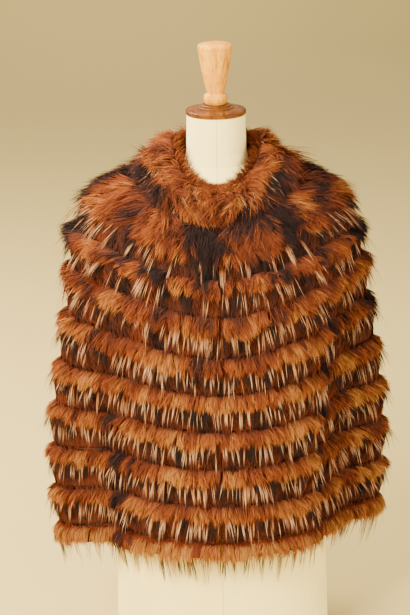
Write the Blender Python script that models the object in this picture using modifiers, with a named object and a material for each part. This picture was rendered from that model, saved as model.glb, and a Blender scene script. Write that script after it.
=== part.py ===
"""A fur poncho standing on its limbless dress form.

The poncho is a knitted ground in four panels, two fronts and two backs, with nine
strips of long fur sewn round it and a wrapped fur collar. It hangs open at the hem
and closes edge to edge down the front. The form is a padded bust with a turned
wooden cap and knob, and it stands on an oval wooden foot.

Metres, +Z up. The front faces -Y and the wearer's left is +X. The origin is the
middle of the foot's underside. Heights on the bust and the cloth are given as a
drop in millimetres below the middle of the wooden cap's rim.
"""

import math

import bmesh
import bpy

MM = 0.001

# Driving sizes, in metres
CAP_HEIGHT = 0.925
FOOT_THICKNESS = 0.018
SEAM_GAP = 0.0003
CLOTH_THICKNESS = 0.003
FUR_THICKNESS = 0.031
CAP_RADIUS = 0.0475
CAP_RIM = 0.0088

# Where edges stop short of a seam, as angles
SEAM_TURN = math.radians(0.2)
STRIP_END_TURN = math.radians(0.4)
COLLAR_END_TURN = math.radians(0.9)

# Stations round the body, counted over each panel, and the level where they are evenly
# apart, found in fine steps
FRONT_STATIONS = 14
BACK_STATIONS = 11
EVEN_AT = 7.0
FINE_STEPS = 400

# How the plan of the cloth is drawn
BODY_POWER = 2.3
WING_POWER = 2.5
UNION_SHARPNESS = 15.0
WING_YAW = math.radians(10.0)
WING_TURNS_FROM = 1.0
WING_TURNS_OVER = 3.0
DIP_POWER = 1.6

FUR_ROWS = 9
HEM_AT = 9.3

# The cloth, a row for each level: where it is counted in fur rows, its drop at the
# side, front and back, its half width, its front and back depth, and how far the
# hanging side wings reach out and how deep they are. Millimetres.
CLOTH_COLUMNS = (
    "level", "side_drop", "front_drop", "back_drop",
    "half_width", "front_depth", "back_depth", "wing_reach", "wing_depth",
)
CLOTH_LEVELS = (
    (0.0, 93, 126, 88, 68, 76, 64, 68, 44),
    (0.5, 111, 167, 105, 128, 93, 84, 124, 56),
    (1.0, 143, 205, 133, 184, 108, 101, 180, 66),
    (2.0, 189, 247, 190, 199, 120, 115, 205, 80),
    (3.0, 248, 308, 258, 201, 128, 121, 218, 78),
    (4.0, 325, 375, 332, 192, 128, 123, 233, 68),
    (5.0, 407, 435, 406, 183, 127, 124, 248, 58),
    (6.0, 479, 500, 479, 175, 125, 126, 259, 50),
    (7.0, 553, 565, 551, 174, 123, 128, 265, 45),
    (8.0, 625, 631, 622, 176, 121, 130, 265, 43),
    (9.0, 693, 694, 690, 179, 120, 132, 261, 42),
    (9.3, 713, 713, 710, 180, 120, 132, 259, 42),
)

# Soft troughs pressed into the cloth: the angle from the front centre towards +X,
# how wide it is, how deep at the hem, and the level where it begins.
FOLD_COLUMNS = ("angle", "width", "depth", "begins")
FOLDS = (
    (-70, 5.0, 9, 4.6),
    (66, 4.5, 8, 2.6),
    (-33, 8.0, 5, 5.5),
    (14, 7.0, 4, 6.0),
    (41, 8.0, 5, 4.5),
    (122, 6.0, 9, 3.5),
    (158, 9.0, 8, 5.0),
    (-172, 8.0, 6, 4.0),
    (-143, 9.0, 9, 3.8),
    (-116, 6.0, 8, 4.8),
)

# The bust in rings, millimetres. The neck and the trunk are ovals; between them the
# rings follow the cloth, which rests on the shoulders, so far under its inner face.
FORM_COLUMNS = ("drop", "half_width", "front_depth", "back_depth")
NECK_RINGS = (
    (4.7, 46, 46, 46),
    (62, 47.5, 47.5, 47.5),
    (80, 51, 49.5, 49.5),
)
SHOULDER_RINGS = ((0.0, 6.0), (0.22, 1.5), (0.44, 0.6), (0.48, 0.8), (1.125, 13.0))
TRUNK_RINGS = (
    (240, 178, 105, 97),
    (320, 152, 115, 98),
    (400, 136, 103, 91),
    (455, 131, 95, 90),
    (525, 146, 98, 98),
    (600, 158, 101, 106),
    (680, 168, 104, 110),
    (770, 179, 107, 110),
    (906.7, 183, 107, 107),
)

# The collar, a row for each place round the neck: where its tip stands and where the
# fur swells outwards below the tip. Millimetres.
COLLAR_COLUMNS = ("tip_radius", "tip_drop", "swell_radius", "swell_drop")
COLLAR_BACK = (60, 33, 100, 42)
COLLAR_SIDE = (60, 36, 114, 42)
COLLAR_FRONT = (67, 102, 122, 103)
COLLAR_TOP_AT = 0.04
COLLAR_MIDDLE_AT = 0.22
COLLAR_FOOT_AT = 0.44
COLLAR_CURVE_STEPS = 4
COLLAR_DIP_POWER = 1.5

# A fur strip in section: where each corner lies between the strip's top and bottom
# edge, and how far it stands out from the ground, as a share of the fur.
STRIP_TOP = 0.17
STRIP_BOTTOM = 0.77
FIRST_STRIP_FROM = 0.48
LAST_STRIP_TO = 9.28
SHOULDER_STRIPS = 2
STRIP_SECTION = (
    (-0.02, 0.26),
    (0.22, 0.74),
    (0.48, 1.0),
    (0.76, 0.94),
    (1.0, 0.60),
)
LAST_STRIP_REACH = 1.32

# The turned pieces, from the top down: radius and height in millimetres. The cap's boss
# stands on its rim, and the knob has a domed cone over a bead.
BOSS_HEIGHT = 6.6
BOSS_PROFILE = (
    (0, 6.6), (22.0, 6.6), (23.2, 5.6), (23.2, 3.9),
    (26.8, 3.4), (28.2, 2.4), (28.2, 1.2), (40.0, 0.4),
)
KNOB_PROFILE = (
    (0, 96.6), (14.0, 96.0), (23.5, 94.2), (26.6, 92.0), (27.4, 89.2),
    (25.2, 74.0), (21.4, 52.0), (17.2, 32.0), (14.2, 21.0), (13.3, 17.6),
    (15.0, 16.4), (18.4, 14.2), (19.3, 9.6), (18.4, 4.6), (16.6, 1.0), (15.6, 0), (0, 0),
)
CAP_STEPS = 36
KNOB_STEPS = 24

# The oval foot: how far it stands out round the bust, in millimetres, and how far its
# edges are rounded, in metres
FOOT_MARGIN = 5
FOOT_ROUNDING = 0.004
FOOT_SIDES = 48

SHARP_FROM = math.radians(40)

# Each piece's colour, roughness and metallic value
FINISHES = {
    "fur": ((0.52, 0.17, 0.035), 0.75, 0.0),
    "ground": ((0.10, 0.035, 0.02), 0.9, 0.0),
    "canvas": ((0.80, 0.72, 0.58), 0.85, 0.0),
    "wood": ((0.62, 0.33, 0.10), 0.4, 0.0),
}


def clear_scene():
    for obj in list(bpy.data.objects):
        bpy.data.objects.remove(obj, do_unlink=True)


def add_object(name, mesh, finish, collection):
    """An object with a material of its own, in one of the finishes."""
    colour, roughness, metallic = FINISHES[finish]
    surface = bpy.data.materials.new(name)
    surface.use_nodes = True
    shader = surface.node_tree.nodes["Principled BSDF"]
    shader.inputs["Base Color"].default_value = (*colour, 1.0)
    shader.inputs["Roughness"].default_value = roughness
    shader.inputs["Metallic"].default_value = metallic
    mesh.materials.append(surface)
    obj = bpy.data.objects.new(name, mesh)
    collection.objects.link(obj)
    return obj


def rounded_step(share):
    share = min(1.0, max(0.0, share))
    return share * share * (3 - 2 * share)


def through_rows(table, columns, at):
    """The table's row at a place in its first column, by a smooth curve through its rows."""
    last = len(table) - 2
    here = next((i for i in range(last) if at < table[i + 1][0]), last)
    before, low, high, after = (
        table[max(0, min(last + 1, i))] for i in (here - 1, here, here + 1, here + 2)
    )
    span = high[0] - low[0]
    share = min(1.0, max(0.0, (at - low[0]) / span))
    found = {}
    for column, name in enumerate(columns):
        rise_in = (high[column] - before[column]) / (high[0] - before[0]) * span
        rise_out = (after[column] - low[column]) / (after[0] - low[0]) * span
        straight = high[column] - low[column]
        limit = 3 * abs(straight)
        if rise_in * straight <= 0:
            rise_in = 0
        if rise_out * straight <= 0:
            rise_out = 0
        rise_in = math.copysign(min(abs(rise_in), limit), straight)
        rise_out = math.copysign(min(abs(rise_out), limit), straight)
        square, cube = share * share, share * share * share
        found[name] = (
            low[column] * (2 * cube - 3 * square + 1)
            + high[column] * (3 * square - 2 * cube)
            + rise_in * (cube - 2 * square + share)
            + rise_out * (cube - square)
        )
    return found


def oval_radius(angle, half_width, front_depth, back_depth, power):
    """The distance from the middle to a squared oval, the way an angle from the front points."""
    across, ahead = abs(math.sin(angle)), math.cos(angle)
    depth = front_depth if ahead > 0 else back_depth
    ahead = abs(ahead)
    return ((across / half_width) ** power + (ahead / depth) ** power) ** (-1 / power)


def fold_depth(angle, level):
    pressed = 0.0
    for row in FOLDS:
        fold = dict(zip(FOLD_COLUMNS, row))
        away = math.degrees(angle) - fold["angle"]
        away = (away + 180) % 360 - 180
        grown = rounded_step((level - fold["begins"]) / (HEM_AT - fold["begins"]))
        pressed += fold["depth"] * grown * math.exp(-((away / fold["width"]) ** 2))
    return pressed


def plan_radius(angle, row, level, grow):
    """The radius of the cloth's plan in millimetres, grown outwards by so many."""
    body = oval_radius(
        angle,
        row["half_width"] + grow,
        row["front_depth"] + grow,
        row["back_depth"] + grow,
        BODY_POWER,
    )
    yaw = WING_YAW * rounded_step((level - WING_TURNS_FROM) / WING_TURNS_OVER)
    depth = row["wing_depth"] + grow
    wing = oval_radius(angle - yaw, row["wing_reach"] + grow, depth, depth, WING_POWER)
    joined = body * (1 + (wing / body) ** UNION_SHARPNESS) ** (1 / UNION_SHARPNESS)
    return joined - fold_depth(angle, level)


def cloth_profile(angle, level):
    """Radius and drop of the cloth's inner face, in millimetres."""
    row = through_rows(CLOTH_LEVELS, CLOTH_COLUMNS, level)
    ahead = math.cos(angle)
    drop = row["side_drop"]
    if ahead > 0:
        drop += (row["front_drop"] - drop) * ahead ** DIP_POWER
    else:
        drop += (row["back_drop"] - drop) * (-ahead) ** DIP_POWER
    return plan_radius(angle, row, level, 0.0), drop, row


def place(angle, radius, drop):
    """A point in metres from an angle, and a radius and a drop in millimetres."""
    return (
        radius * math.sin(angle) * MM,
        -radius * math.cos(angle) * MM,
        CAP_HEIGHT - drop * MM,
    )


def cloth_point(angle, level, out):
    """A point that stands out from the cloth's inner face by so many metres."""
    step = 0.02
    level = max(0.0, level)
    held = min(HEM_AT, level)
    radius, drop, row = cloth_profile(angle, held)
    above, below = max(0.0, held - step), min(HEM_AT, held + step)
    high_radius, high_drop, _ = cloth_profile(angle, above)
    low_radius, low_drop, _ = cloth_profile(angle, below)
    wider, lower = low_radius - high_radius, low_drop - high_drop
    length = math.hypot(wider, lower)
    grow = out / MM
    drop += (level - held) * (lower / (below - above))
    radius = plan_radius(angle, row, held, grow * lower / length)
    return place(angle, radius, drop - grow * wider / length)


def even_angles(start, end, count):
    """Angles that part the fur's plan between two angles into even lengths."""
    row = through_rows(CLOTH_LEVELS, CLOTH_COLUMNS, EVEN_AT)
    angles = [start + (end - start) * i / FINE_STEPS for i in range(FINE_STEPS + 1)]
    grown = 0.5 * FUR_THICKNESS / MM
    spots = [place(a, plan_radius(a, row, EVEN_AT, grown), 0) for a in angles]
    reached = [0.0]
    for first, second in zip(spots, spots[1:]):
        reached.append(reached[-1] + math.dist(first, second))
    chosen, here = [], 0
    for i in range(count + 1):
        wanted = reached[-1] * i / count
        while here < FINE_STEPS - 1 and reached[here + 1] < wanted:
            here += 1
        share = (wanted - reached[here]) / (reached[here + 1] - reached[here])
        chosen.append(angles[here] + (angles[here + 1] - angles[here]) * share)
    return chosen


def split_face(form, upper, upper_next, lower_next, lower):
    """Two triangles, parted the same way on every layer so that layers stay parallel."""
    form.faces.new((upper, upper_next, lower_next))
    form.faces.new((upper, lower_next, lower))


def cap_section(form, ring):
    """Closes a section across its width, corner by corner, as a ladder has rungs."""
    low, high = 0, len(ring) - 1
    while high - low > 2:
        form.faces.new((ring[low], ring[low + 1], ring[high - 1], ring[high]))
        low, high = low + 1, high - 1
    if high - low == 2:
        form.faces.new((ring[low], ring[low + 1], ring[high]))


def sweep(name, sections):
    """One closed body through sections of as many points each, capped at both ends."""
    form = bmesh.new()
    rings = [[form.verts.new(point) for point in section] for section in sections]
    for here, there in zip(rings, rings[1:]):
        for i in range(len(here)):
            after = (i + 1) % len(here)
            downwards = here[after].co.z < here[i].co.z
            first, last = (i, after) if downwards else (after, i)
            split_face(form, here[first], there[first], there[last], here[last])
    for ring in (rings[0], rings[-1]):
        cap_section(form, ring)
    bmesh.ops.recalc_face_normals(form, faces=form.faces)
    mesh = bpy.data.meshes.new(name)
    form.to_mesh(mesh)
    form.free()
    return mesh


def strip_levels(row):
    """The levels where a strip lies on the ground; over the shoulder it bends between."""
    top, bottom = row - STRIP_TOP, row + STRIP_BOTTOM
    if row == 1:
        top = FIRST_STRIP_FROM
    if row == FUR_ROWS:
        bottom = LAST_STRIP_TO
    if row <= SHOULDER_STRIPS:
        return top, (top + bottom) / 2, bottom
    return top, bottom


def ground_levels():
    """Each edge of each fur strip is a level of the ground, so that the strips lie on it."""
    levels = [0.0, COLLAR_MIDDLE_AT, COLLAR_FOOT_AT]
    for row in range(1, FUR_ROWS + 1):
        levels += strip_levels(row)
    levels[-1] = HEM_AT
    return levels


def ground_panel(name, start, end, count, collection):
    levels = ground_levels()
    angles = even_angles(start, end, count)
    angles[0] += SEAM_TURN
    angles[-1] -= SEAM_TURN
    sections = []
    for angle in angles:
        outer = [cloth_point(angle, level, CLOTH_THICKNESS) for level in levels]
        inner = [cloth_point(angle, level, 0.0) for level in reversed(levels)]
        sections.append(outer + inner)
    return add_object(name, sweep(name, sections), "ground", collection)


def all_round(edge=0.0):
    """Angles from one front edge round the back to the other, each stopping short by edge."""
    side = math.pi / 2
    angles = even_angles(0.0, side, FRONT_STATIONS)[:-1]
    angles += even_angles(side, 2 * side, BACK_STATIONS)[:-1]
    angles += even_angles(2 * side, 3 * side, BACK_STATIONS)[:-1]
    angles += even_angles(3 * side, 4 * side, FRONT_STATIONS)
    angles[0] += edge
    angles[-1] -= edge
    return angles


def fur_strip(row, collection):
    levels = strip_levels(row)
    top, bottom = levels[0], levels[-1]
    reach = LAST_STRIP_REACH if row == FUR_ROWS else 1.0
    under = CLOTH_THICKNESS + SEAM_GAP
    sections = []
    for angle in all_round(STRIP_END_TURN):
        section = []
        for share, stands in STRIP_SECTION:
            level = top + (bottom - top) * share * reach
            section.append(cloth_point(angle, level, under + FUR_THICKNESS * stands))
        section += [cloth_point(angle, level, under) for level in reversed(levels)]
        sections.append(section)
    name = f"fur_row_{row}"
    return add_object(name, sweep(name, sections), "fur", collection)


def between(first, second, share):
    return tuple(a + (b - a) * share for a, b in zip(first, second))


def collar_row(angle):
    """The collar's table row at an angle, from its front, side and back rows."""
    ahead = math.cos(angle)
    end = COLLAR_FRONT if ahead > 0 else COLLAR_BACK
    share = abs(ahead) ** COLLAR_DIP_POWER
    return dict(zip(COLLAR_COLUMNS, between(COLLAR_SIDE, end, share)))


def bend_through(start, pull, end, steps):
    """The inside points of a curve from start to end that is drawn towards pull."""
    found = []
    for i in range(1, steps):
        share = i / steps
        first, second = between(start, pull, share), between(pull, end, share)
        found.append(between(first, second, share))
    return found


def fur_collar(collection):
    under = CLOTH_THICKNESS + SEAM_GAP
    sections = []
    for angle in all_round(COLLAR_END_TURN):
        row = collar_row(angle)
        tip = place(angle, row["tip_radius"], row["tip_drop"])
        swell = place(angle, row["swell_radius"], row["swell_drop"])
        foot = cloth_point(angle, COLLAR_FOOT_AT, under)
        root = cloth_point(angle, COLLAR_TOP_AT, under)
        section = [root, cloth_point(angle, COLLAR_MIDDLE_AT, under), foot]
        section += bend_through(foot, swell, tip, COLLAR_CURVE_STEPS)
        section += [tip, between(tip, root, 0.5)]
        sections.append(section)
    return add_object("fur_collar", sweep("fur_collar", sections), "fur", collection)


def oval_ring(form, angles, row):
    """A level ring of the bust's corners, from a table row."""
    ring = dict(zip(FORM_COLUMNS, row))
    sizes = ring["half_width"], ring["front_depth"], ring["back_depth"]
    return [
        form.verts.new(place(a, oval_radius(a, *sizes, 2.0), ring["drop"])) for a in angles
    ]


def form_torso(collection):
    """The padded bust: rings from the neck down to the hips, closed at both ends."""
    angles = all_round()[:-1]
    form = bmesh.new()
    rings = []
    for row in NECK_RINGS:
        rings.append(oval_ring(form, angles, row))
    for level, under in SHOULDER_RINGS:
        rings.append([form.verts.new(cloth_point(a, level, -under * MM)) for a in angles])
    for row in TRUNK_RINGS:
        rings.append(oval_ring(form, angles, row))
    for here, there in zip(rings, rings[1:]):
        for i in range(len(angles)):
            after = (i + 1) % len(angles)
            split_face(form, here[i], here[after], there[after], there[i])
    form.faces.new(rings[0])
    form.faces.new(rings[-1])
    bmesh.ops.recalc_face_normals(form, faces=form.faces)
    mesh = bpy.data.meshes.new("form_torso")
    form.to_mesh(mesh)
    form.free()
    return add_object("form_torso", mesh, "canvas", collection)


def turned(name, profile, height, steps, finish, collection):
    """A turned wooden piece, from a profile of radius and height in millimetres, top first."""
    mesh = bpy.data.meshes.new(name)
    points = [(radius * MM, 0.0, rise * MM) for radius, rise in profile]
    mesh.from_pydata(points, [(i, i + 1) for i in range(len(points) - 1)], [])
    obj = add_object(name, mesh, finish, collection)
    obj.location = (0.0, 0.0, height)
    screw = obj.modifiers.new("turned", "SCREW")
    screw.steps = screw.render_steps = steps
    screw.use_merge_vertices = True
    screw.merge_threshold = 0.00005
    return obj


def form_cap(collection):
    """The flat round cap: a rim with eased edges under a stepped boss."""
    rim, high = CAP_RADIUS / MM, CAP_RIM / MM
    profile = [(radius, high + rise) for radius, rise in BOSS_PROFILE]
    profile += [(rim - 1.6, high - 0.8), (rim, high - 2.6), (rim, 1.6), (rim - 1.6, 0), (0, 0)]
    bottom = CAP_HEIGHT - CAP_RIM / 2
    return turned("form_cap", profile, bottom, CAP_STEPS, "wood", collection)


def form_knob(collection):
    """The bead, then the cone that widens to a slightly domed top."""
    bottom = CAP_HEIGHT + CAP_RIM / 2 + BOSS_HEIGHT * MM + SEAM_GAP
    return turned("form_knob", KNOB_PROFILE, bottom, KNOB_STEPS, "wood", collection)


def form_foot(collection):
    """The oval board that closes the bust and stands on the floor."""
    ring = dict(zip(FORM_COLUMNS, TRUNK_RINGS[-1]))
    form = bmesh.new()
    bmesh.ops.create_cone(
        form, cap_ends=True, segments=FOOT_SIDES, radius1=1.0, radius2=1.0, depth=FOOT_THICKNESS
    )
    across, deep = ring["half_width"] + FOOT_MARGIN, ring["front_depth"] + FOOT_MARGIN
    bmesh.ops.scale(form, vec=(across * MM, deep * MM, 1.0), verts=form.verts)
    mesh = bpy.data.meshes.new("form_foot")
    form.to_mesh(mesh)
    form.free()
    obj = add_object("form_foot", mesh, "wood", collection)
    obj.location = (0.0, 0.0, FOOT_THICKNESS / 2)
    edge = obj.modifiers.new("rounded edge", "BEVEL")
    edge.width = FOOT_ROUNDING
    edge.segments = 2
    edge.limit_method = "ANGLE"
    return obj


def main():
    clear_scene()
    parts = bpy.data.collections.new("fur_poncho_on_form")
    bpy.context.scene.collection.children.link(parts)
    side = math.pi / 2

    form_foot(parts)
    form_torso(parts)
    form_cap(parts)
    form_knob(parts)

    ground_panel("ground_front_left", 0.0, side, FRONT_STATIONS, parts)
    ground_panel("ground_back_left", side, 2 * side, BACK_STATIONS, parts)
    ground_panel("ground_back_right", 2 * side, 3 * side, BACK_STATIONS, parts)
    ground_panel("ground_front_right", 3 * side, 4 * side, FRONT_STATIONS, parts)
    for row in range(1, FUR_ROWS + 1):
        fur_strip(row, parts)
    fur_collar(parts)

    for obj in parts.objects:
        obj.data.shade_smooth()
        obj.data.set_sharp_from_angle(angle=SHARP_FROM)


main()
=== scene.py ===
"""A rust-orange fur poncho on a cream canvas dress form with a turned wooden cap.

Strips of long-haired fur are sewn in rows round a dark knitted ground. Each strip is
built as its skin and, over that, tufts of underfur and guard hair as fine ribbons.
"""

import math

import bpy
import numpy as np
from mathutils import Matrix, Vector


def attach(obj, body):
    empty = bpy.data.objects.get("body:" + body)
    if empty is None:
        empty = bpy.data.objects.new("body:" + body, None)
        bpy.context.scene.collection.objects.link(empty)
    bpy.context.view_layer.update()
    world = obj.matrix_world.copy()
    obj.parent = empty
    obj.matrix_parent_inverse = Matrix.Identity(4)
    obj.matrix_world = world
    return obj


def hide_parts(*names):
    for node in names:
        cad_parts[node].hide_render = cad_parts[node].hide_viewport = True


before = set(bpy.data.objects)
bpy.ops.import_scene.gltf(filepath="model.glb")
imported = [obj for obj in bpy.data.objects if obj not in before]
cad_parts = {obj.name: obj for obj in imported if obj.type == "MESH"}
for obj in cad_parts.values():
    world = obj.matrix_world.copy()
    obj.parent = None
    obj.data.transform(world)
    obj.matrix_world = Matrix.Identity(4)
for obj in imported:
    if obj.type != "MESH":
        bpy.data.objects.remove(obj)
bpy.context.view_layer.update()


# The view: a long lens a little above the collar and 2.5 m away, looking down by 19
# degrees. The picture is 410 by 615, and its sides lean by one degree.
PICTURE_HEIGHT = 615
FOCAL_PIXELS = 1600
VIEW_PITCH = math.radians(18.9)
VIEW_ROLL = 0.0168
VIEW_FROM = (-0.0221, -2.4687, 1.4452)

camera_data = bpy.data.cameras.new("view")
camera_data.sensor_fit = "VERTICAL"
camera_data.sensor_height = 36.0
camera_data.lens = camera_data.sensor_height * FOCAL_PIXELS / PICTURE_HEIGHT
camera = bpy.data.objects.new("view", camera_data)
bpy.context.scene.collection.objects.link(camera)
camera.matrix_world = (
    Matrix.Translation(VIEW_FROM)
    @ Matrix.Rotation(math.pi / 2 - VIEW_PITCH, 4, "X")
    @ Matrix.Rotation(-VIEW_ROLL, 4, "Z")
)
bpy.context.scene.camera = camera


# The studio: a pale warm floor that curves up into a wall all round. A soft key comes
# from the front left, a broad fill from the right and a weaker light from above, and
# two small lamps light the floor beside the form and behind it.
def add_node(tree, kind, values=None, **settings):
    """A shader node. values sets or links its inputs, by name or number."""
    node = tree.nodes.new(kind)
    for name, value in settings.items():
        setattr(node, name, value)
    for socket, value in (values or {}).items():
        if isinstance(value, bpy.types.NodeSocket):
            tree.links.new(value, node.inputs[socket])
        else:
            node.inputs[socket].default_value = value
    return node


def new_material(name):
    """A material with its shader, ready for nodes."""
    made = bpy.data.materials.new(name)
    made.use_nodes = True
    tree = made.node_tree
    return made, tree, tree.nodes["Principled BSDF"]


def mesh_object(name, points, faces):
    """A smooth mesh in the scene, from plain lists."""
    mesh = bpy.data.meshes.new(name)
    mesh.from_pydata(points, [], faces)
    mesh.shade_smooth()
    obj = bpy.data.objects.new(name, mesh)
    bpy.context.scene.collection.objects.link(obj)
    return obj


def studio_sweep():
    """Floor, cove and a low wall as one round sheet under and about the form."""
    radius, cove, height = 8.5, 2.5, 2.9
    inner, sides, steps = 0.6, 96, 12
    line = [(inner, 0.0), (radius - cove, 0.0)]
    for i in range(1, steps + 1):
        turn = math.pi / 2 * i / steps
        line.append((radius - cove + cove * math.sin(turn), cove - cove * math.cos(turn)))
    line.append((radius, height))
    points = [(0.0, 0.0, 0.0)]
    for i in range(sides):
        turn = 2 * math.pi * i / sides
        points += [(r * math.cos(turn), r * math.sin(turn), z) for r, z in line]
    faces, many = [], len(line)
    for i in range(sides):
        here, there = 1 + i * many, 1 + (i + 1) % sides * many
        faces.append((0, here, there))
        faces += [(here + j, here + j + 1, there + j + 1, there + j) for j in range(many - 1)]
    return mesh_object("studio_sweep", points, faces)


sweep = studio_sweep()
paper, _, paper_shader = new_material("studio_paper")
paper_shader.inputs["Base Color"].default_value = (0.53, 0.405, 0.135, 1.0)
paper_shader.inputs["Roughness"].default_value = 0.95
sweep.data.materials.append(paper)

world = bpy.data.worlds.new("studio_air")
world.use_nodes = True
air = world.node_tree.nodes["Background"]
air.inputs["Color"].default_value = (1.0, 0.97, 0.93, 1.0)
air.inputs["Strength"].default_value = 0.85
bpy.context.scene.world = world

# lamp, where it hangs, where it points, its side in metres, watts, colour
LAMPS = (
    ("key", (-1.6, -1.9, 2.3), (0.0, 0.0, 0.6), 1.4, 375.0, (1.0, 0.91, 0.77)),
    ("fill", (2.3, -1.9, 1.3), (0.0, 0.0, 0.55), 1.8, 130.0, (1.0, 0.93, 0.83)),
    ("top", (-0.3, 0.2, 2.8), (0.0, 0.0, 0.6), 1.4, 40.0, (1.0, 0.92, 0.80)),
    ("floor", (-1.4, 0.9, 2.1), (-0.8, 1.0, 0.0), 1.4, 150.0, (1.0, 0.86, 0.64)),
    ("far floor", (-0.5, 6.0, 2.2), (-0.5, 6.6, 0.0), 1.2, 36.0, (1.0, 0.90, 0.74)),
)
for name, spot, aim, wide, watts, colour in LAMPS:
    lamp = bpy.data.lights.new(name, "AREA")
    lamp.size = wide
    lamp.energy = watts
    lamp.color = colour
    holder = bpy.data.objects.new(name, lamp)
    bpy.context.scene.collection.objects.link(holder)
    away = Vector(spot) - Vector(aim)
    holder.rotation_euler = away.to_track_quat("Z", "Y").to_euler()
    holder.location = spot


# The cap and knob are turned from honey-coloured hardwood and varnished, the cap
# darker than the knob. The foot is a plain oval board of the same wood.
def node_group(name, takes, gives):
    """A shader node group with named inputs and outputs, and the sockets to fill them."""
    group = bpy.data.node_groups.new(name, "ShaderNodeTree")
    for way, sockets in (("INPUT", takes), ("OUTPUT", gives)):
        for socket, kind in sockets:
            group.interface.new_socket(socket, in_out=way, socket_type=kind)
    took = group.nodes.new("NodeGroupInput")
    given = group.nodes.new("NodeGroupOutput")
    return group, took.outputs, given.inputs


def noise(tree, vector, scale, detail, distortion=0.0):
    """Cloudy noise, from 0 to 1."""
    values = {"Vector": vector, "Scale": scale, "Detail": detail, "Distortion": distortion}
    return add_node(tree, "ShaderNodeTexNoise", values).outputs["Fac"]


def calculated(tree, operation, *values):
    """One step of arithmetic."""
    values = dict(enumerate(values))
    return add_node(tree, "ShaderNodeMath", values, operation=operation).outputs[0]


def wood_grain_group():
    """Long grain along one way, with rings and pores; puts out streaks and pores."""
    number, vector = "NodeSocketFloat", "NodeSocketVector"
    group, took, gives = node_group(
        "wood_grain",
        (("Along", vector), ("Fineness", number)),
        (("Streak", number), ("Pore", number)),
    )
    streaks = noise(group, took["Along"], took["Fineness"], 5.0, 1.2)
    finer = calculated(group, "MULTIPLY", took["Fineness"], 4.5)
    group.links.new(streaks, gives["Streak"])
    group.links.new(noise(group, took["Along"], finer, 3.0), gives["Pore"])
    return group


def ramp(tree, factor, stops):
    """A colour ramp from (place, colour) stops."""
    node = add_node(tree, "ShaderNodeValToRGB", {"Fac": factor})
    bar = node.color_ramp
    while len(bar.elements) > 1:
        bar.elements.remove(bar.elements[-1])
    bar.elements[0].position = stops[0][0]
    bar.elements[0].color = (*stops[0][1], 1.0)
    for place, colour in stops[1:]:
        bar.elements.new(place).color = (*colour, 1.0)
    return node.outputs["Color"]


def blended(tree, factor, first, second, how="MIX"):
    """Two colours made into one."""
    values = {"Factor": factor, "A": first, "B": second}
    node = add_node(tree, "ShaderNodeMix", values, data_type="RGBA", blend_type=how)
    return node.outputs["Result"]


def set_roughness(tree, shader, value, low, high):
    """Roughness that goes from low to high with a value from 0 to 1."""
    values = {"Value": value, "To Min": low, "To Max": high}
    rough = add_node(tree, "ShaderNodeMapRange", values)
    tree.links.new(rough.outputs[0], shader.inputs["Roughness"])


def set_relief(tree, shader, height, strength, distance):
    """Fine relief. The distance is in metres."""
    values = {"Height": height, "Strength": strength, "Distance": distance}
    relief = add_node(tree, "ShaderNodeBump", values)
    tree.links.new(relief.outputs[0], shader.inputs["Normal"])


def wood_material(name, stretch, dark, middle, light, rough):
    """Varnished wood. The grain runs along the axis that stretch scales least."""
    made, tree, shader = new_material(name)
    where = add_node(tree, "ShaderNodeTexCoord").outputs["Object"]
    along = add_node(tree, "ShaderNodeMapping", {"Vector": where, "Scale": stretch})
    values = {"Along": along.outputs[0], "Fineness": 1.0}
    grain = add_node(tree, "ShaderNodeGroup", values, node_tree=wood_grain).outputs
    streaks = ramp(tree, grain["Streak"], ((0.30, dark), (0.48, middle), (0.68, light)))
    pores = ramp(tree, grain["Pore"], ((0.36, (0.55, 0.42, 0.30)), (0.50, (1, 1, 1))))
    colour = blended(tree, 0.55, streaks, pores, "MULTIPLY")
    tree.links.new(colour, shader.inputs["Base Color"])
    set_roughness(tree, shader, grain["Pore"], rough + 0.12, rough - 0.06)
    set_relief(tree, shader, grain["Pore"], 0.18, 0.0006)
    shader.inputs["Specular IOR Level"].default_value = 0.22
    shader.inputs["Specular Tint"].default_value = (1.0, 0.72, 0.38, 1.0)
    shader.inputs["Coat Weight"].default_value = 0.04
    shader.inputs["Coat Roughness"].default_value = 0.22
    return made


wood_grain = wood_grain_group()
KNOB_GRAIN = (85, 85, 9)
KNOB_COLOURS = ((0.42, 0.14, 0.004), (0.66, 0.27, 0.006), (0.74, 0.37, 0.015))
knob_wood = wood_material("knob_wood", KNOB_GRAIN, *KNOB_COLOURS, 0.36)
CAP_GRAIN = (60, 16, 60)
CAP_COLOURS = ((0.05, 0.012, 0.002), (0.105, 0.030, 0.004), (0.18, 0.060, 0.008))
cap_wood = wood_material("cap_wood", CAP_GRAIN, *CAP_COLOURS, 0.40)


def dress_node(name, material):
    """The CAD node stays as it is and gets its finish."""
    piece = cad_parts[name]
    for slot in piece.material_slots:
        slot.material = material
    return piece


dress_node("form_knob", knob_wood)
dress_node("form_cap", cap_wood)
dress_node("form_foot", cap_wood)


# The bust is padded and covered with tight cream canvas. The canvas is cut in two
# halves and sewn together down the front and the back centre.
def stripes(tree, where, way, scale, distortion):
    """Fine parallel bands across one axis, from 0 to 1."""
    values = {"Vector": where, "Scale": scale, "Distortion": distortion}
    return add_node(tree, "ShaderNodeTexWave", values, bands_direction=way).outputs["Fac"]


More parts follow.
